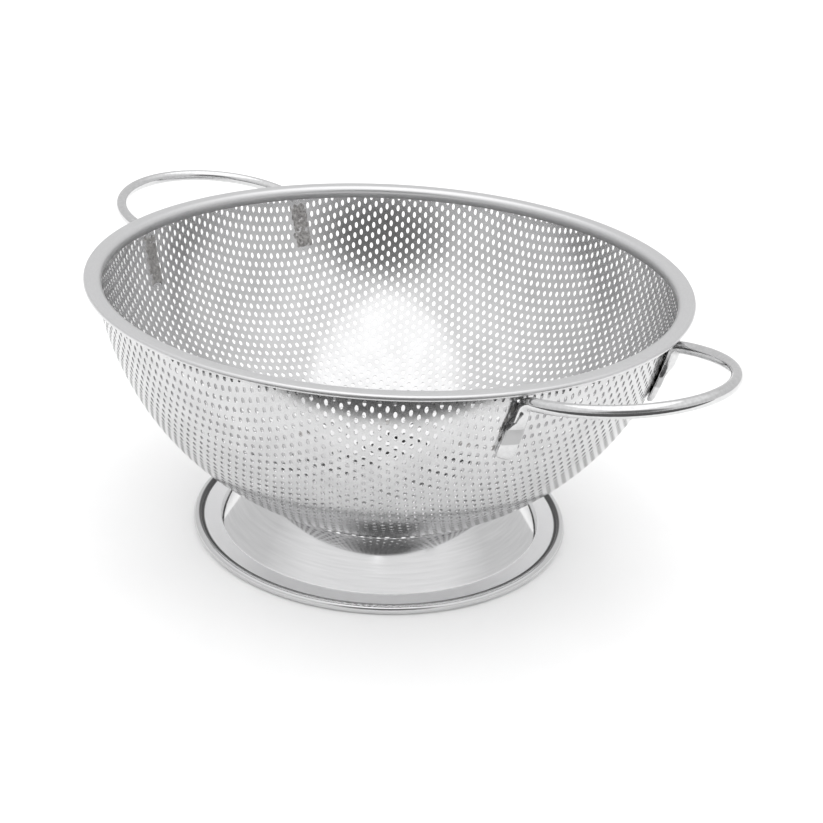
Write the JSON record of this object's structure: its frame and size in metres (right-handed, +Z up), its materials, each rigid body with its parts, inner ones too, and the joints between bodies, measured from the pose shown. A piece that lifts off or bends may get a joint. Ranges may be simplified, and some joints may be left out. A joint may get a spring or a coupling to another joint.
{
  "type": "footed strainer bowl",
  "caption": "Footed, micro-perforated steel strainer bowl with a folded rim band, two welded wire loop handles and a spun foot ring, for draining and shaping curd.",
  "frame": {"origin": "centre of the foot's underside, where the strainer stands", "axes": "+Z up along the bowl's axis, +X towards the middle of one handle, -X towards the other"},
  "size_m": [0.3456, 0.26, 0.1257],
  "materials": {
    "perforated_steel": "bright satin sheet, perforated all over",
    "rim_steel": "fine satin, brushed round the rim",
    "foot_steel": "mirror polished",
    "wire_steel": "polished drawn wire",
    "weld_steel": "dull grey, heat tinted spot weld"
  },
  "bodies": {
    "root": {"bowl": "perforated_steel", "rim_band": "rim_steel", "foot": "foot_steel", "foot_welds": "weld_steel", "handle_left": "wire_steel", "handle_left_welds": "weld_steel", "handle_right": "wire_steel", "handle_right_welds": "weld_steel"}
  },
  "joints": []
}
